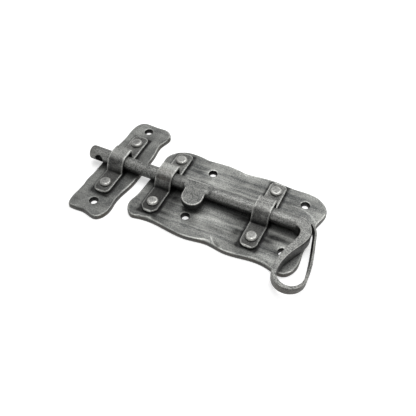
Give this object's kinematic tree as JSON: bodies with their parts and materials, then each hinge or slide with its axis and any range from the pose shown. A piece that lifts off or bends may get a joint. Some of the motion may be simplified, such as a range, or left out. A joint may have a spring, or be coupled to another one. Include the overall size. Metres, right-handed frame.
{
  "type": "sliding door bolt",
  "caption": "Hand-forged sliding door bolt: a round rod with a stop lug and a looped pull handle runs through riveted straps on a hammered back plate into a strap keeper.",
  "frame": {"origin": "middle of the four screw holes of the back plate, on the plate's back face, where it meets the door", "axes": "+X along the bolt from its tip towards its handle, +Y from the handle's loop towards the back edge of the plate, +Z off the door"},
  "size_m": [0.1797, 0.1018, 0.0162],
  "materials": {
    "plate_steel": "hammered, grey patina with worn edges",
    "bolt_steel": "forged, rubbed bright on top, pitted in places",
    "strap_steel": "forged strip, grey patina with bright edges",
    "rivet_steel": "peened head, mottled and brighter than the plates"
  },
  "bodies": {
    "plates": {"back_plate": "plate_steel", "keeper_plate": "plate_steel", "tip_strap": "strap_steel", "handle_strap": "strap_steel", "keeper_strap": "strap_steel", "tip_strap_rivets": "rivet_steel", "handle_strap_rivets": "rivet_steel", "keeper_strap_rivets": "rivet_steel"},
    "bolt": {"bolt": "bolt_steel"}
  },
  "joints": [
    {"name": "bolt_slide", "type": "slide", "parent": "plates", "child": "bolt", "axis": [1, 0, 0], "range_m": [-0.008, 0.031]}
  ]
}
